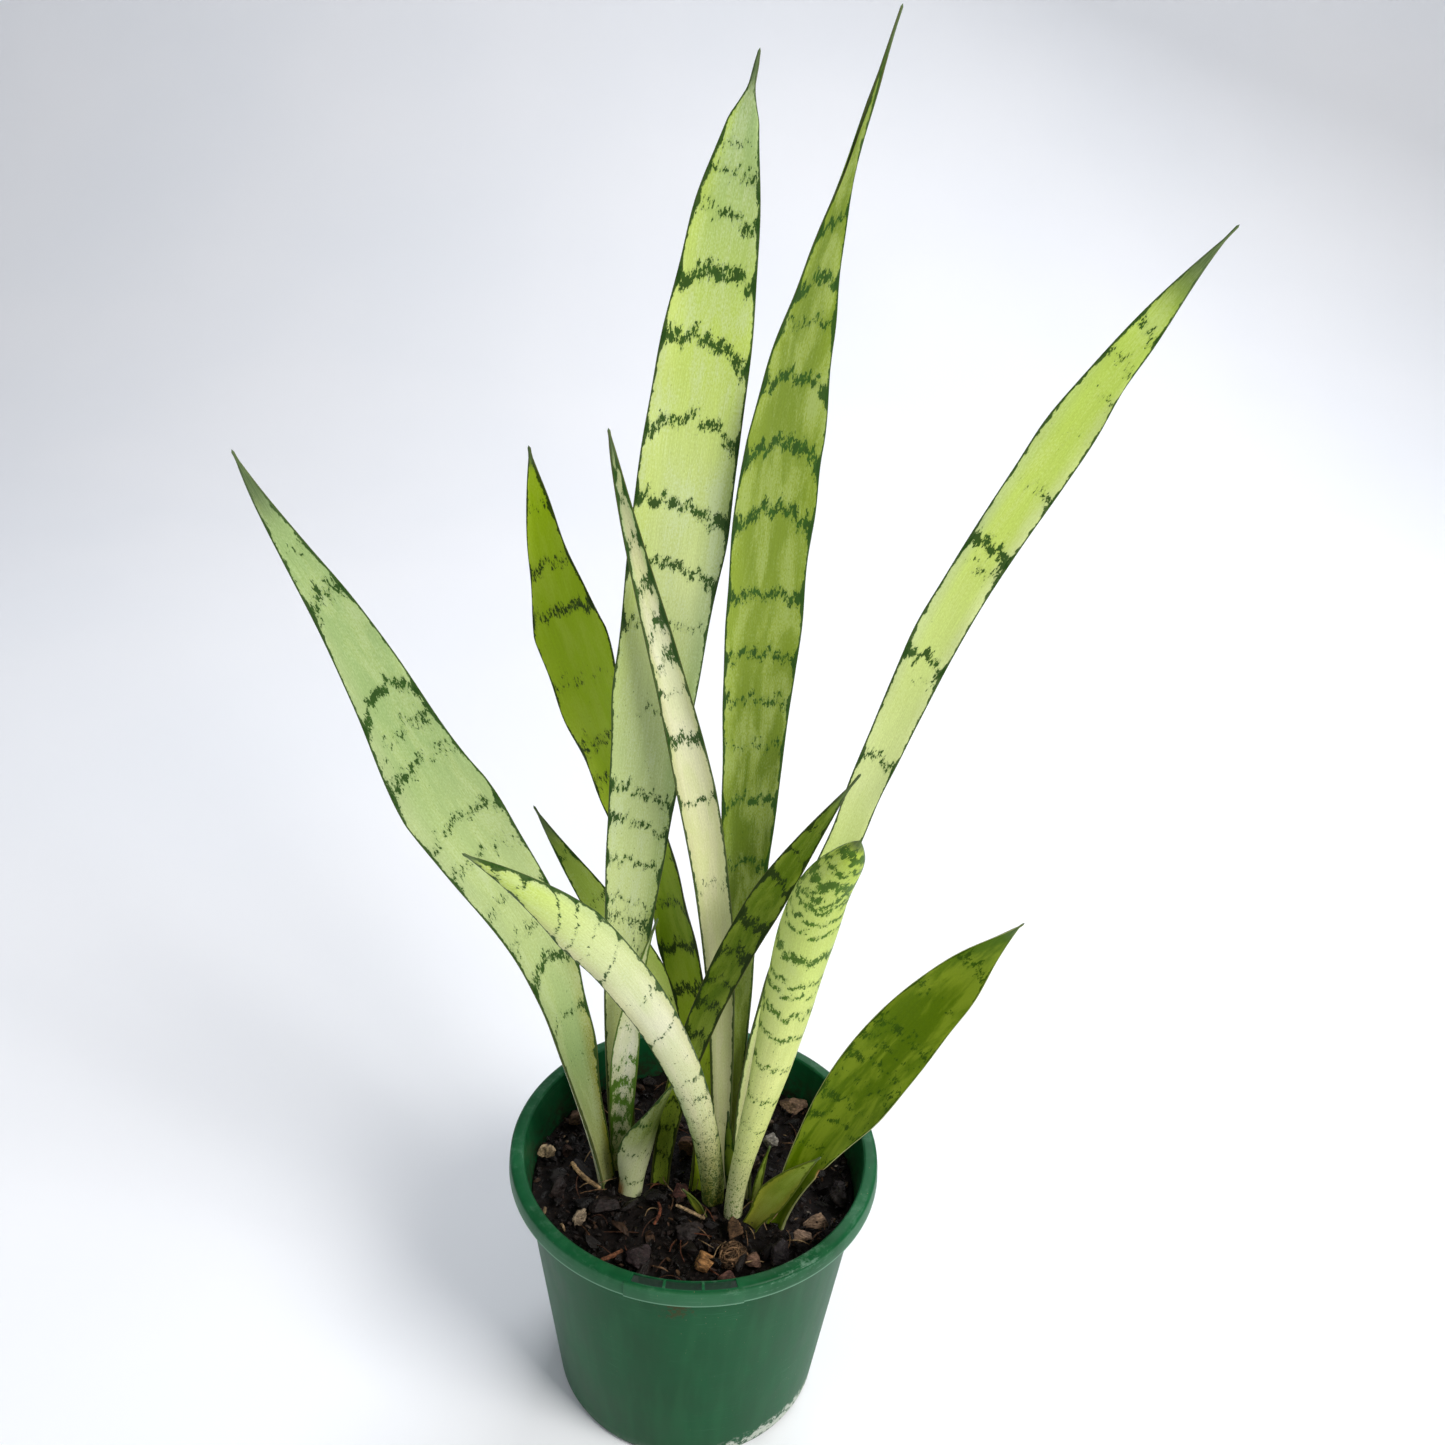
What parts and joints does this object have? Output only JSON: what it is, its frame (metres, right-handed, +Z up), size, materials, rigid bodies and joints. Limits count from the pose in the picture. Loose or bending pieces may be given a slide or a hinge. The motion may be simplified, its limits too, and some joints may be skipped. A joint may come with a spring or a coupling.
{
  "type": "potted snake plant",
  "caption": "Snake plant with upright, banded, sword-shaped leaves rising from bark potting mix in a tapered plastic nursery pot.",
  "frame": {"origin": "centre of the pot's flat underside", "axes": "+Z up along the pot, +X to the right, the label slot at the front faces -Y"},
  "size_m": [0.3012, 0.1606, 0.5114],
  "materials": {
    "pot_plastic": "moulded polypropylene, satin, scuffed",
    "potting_mix": "damp fine bark and compost",
    "leaf_left_long": "sage green with ragged dark bands, satin",
    "leaf_tall_left": "pale lime with ragged dark bands and a thin dark margin, satin",
    "leaf_tall_right": "olive lime with arched dark bands, satin",
    "leaf_right_long": "bright lime with few dark bands, satin",
    "leaf_back_left": "saturated olive green with faint bands, satin",
    "leaf_centre_cream": "cream with green mottling, satin",
    "leaf_rolled_young": "yellow lime with dark chevrons, satin",
    "leaf_dark_right": "dark olive with darker blotches, satin",
    "leaf_front_left": "silvery cream green with thin broken bands, satin",
    "leaf_small_left": "dark sage, satin",
    "leaf_small_right": "deep green with blotches and a pale margin, satin",
    "leaf_young_mottled": "white with bright green mottling, satin",
    "sheath_left": "grey green outside, dark green inside, satin",
    "sheath_yellow": "yellow green, satin",
    "bract_dark": "dark green, satin",
    "bract_tip_small": "yellow green, satin",
    "bract_spike_small": "yellow green, satin",
    "pale_wood_chip": "dry split wood, matte",
    "brown_bark_chip": "damp bark, matte",
    "dark_wet_bark": "wet bark, slightly glossy",
    "dry_litter": "dry twig and straw, matte",
    "old_crown": "dry brown crown tissue, matte",
    "root_fibre": "matted dry roots"
  },
  "bodies": {
    "root": {"nursery_pot": "pot_plastic", "potting_mix": "potting_mix", "leaf_left_long": "leaf_left_long", "leaf_tall_left": "leaf_tall_left", "leaf_tall_right": "leaf_tall_right", "leaf_right_long": "leaf_right_long", "leaf_back_left": "leaf_back_left", "leaf_centre_cream": "leaf_centre_cream", "leaf_rolled_young": "leaf_rolled_young", "leaf_dark_right": "leaf_dark_right", "leaf_front_left": "leaf_front_left", "leaf_small_left": "leaf_small_left", "leaf_small_right": "leaf_small_right", "leaf_young_mottled": "leaf_young_mottled", "sheath_left": "sheath_left", "sheath_yellow": "sheath_yellow", "bract_dark": "bract_dark", "bract_tip_small": "bract_tip_small", "bract_spike_small": "bract_spike_small", "chip_tan_left": "pale_wood_chip", "chip_tan_right_back": "pale_wood_chip", "chip_tan_right_front": "pale_wood_chip", "chip_grey_back": "pale_wood_chip", "chip_back_right": "pale_wood_chip", "chip_wedge_front": "pale_wood_chip", "chip_round_front": "pale_wood_chip", "chip_pale_left_front": "pale_wood_chip", "chip_brown_centre": "brown_bark_chip", "chip_back_far": "brown_bark_chip", "chip_brown_front": "brown_bark_chip", "chip_left_back": "brown_bark_chip", "chip_red_centre": "brown_bark_chip", "bark_left_mid": "dark_wet_bark", "bark_front_left": "dark_wet_bark", "bark_left_edge": "dark_wet_bark", "bark_front_mid": "dark_wet_bark", "bark_front_right": "dark_wet_bark", "bark_right_edge": "dark_wet_bark", "bark_right_back": "dark_wet_bark", "bark_back_left": "dark_wet_bark", "bark_back_mid": "dark_wet_bark", "twig_left": "dry_litter", "twig_front_left": "dry_litter", "straw_centre": "dry_litter", "root_fibre_red": "dry_litter", "crown_stub": "old_crown", "root_clump": "root_fibre"}
  },
  "joints": []
}
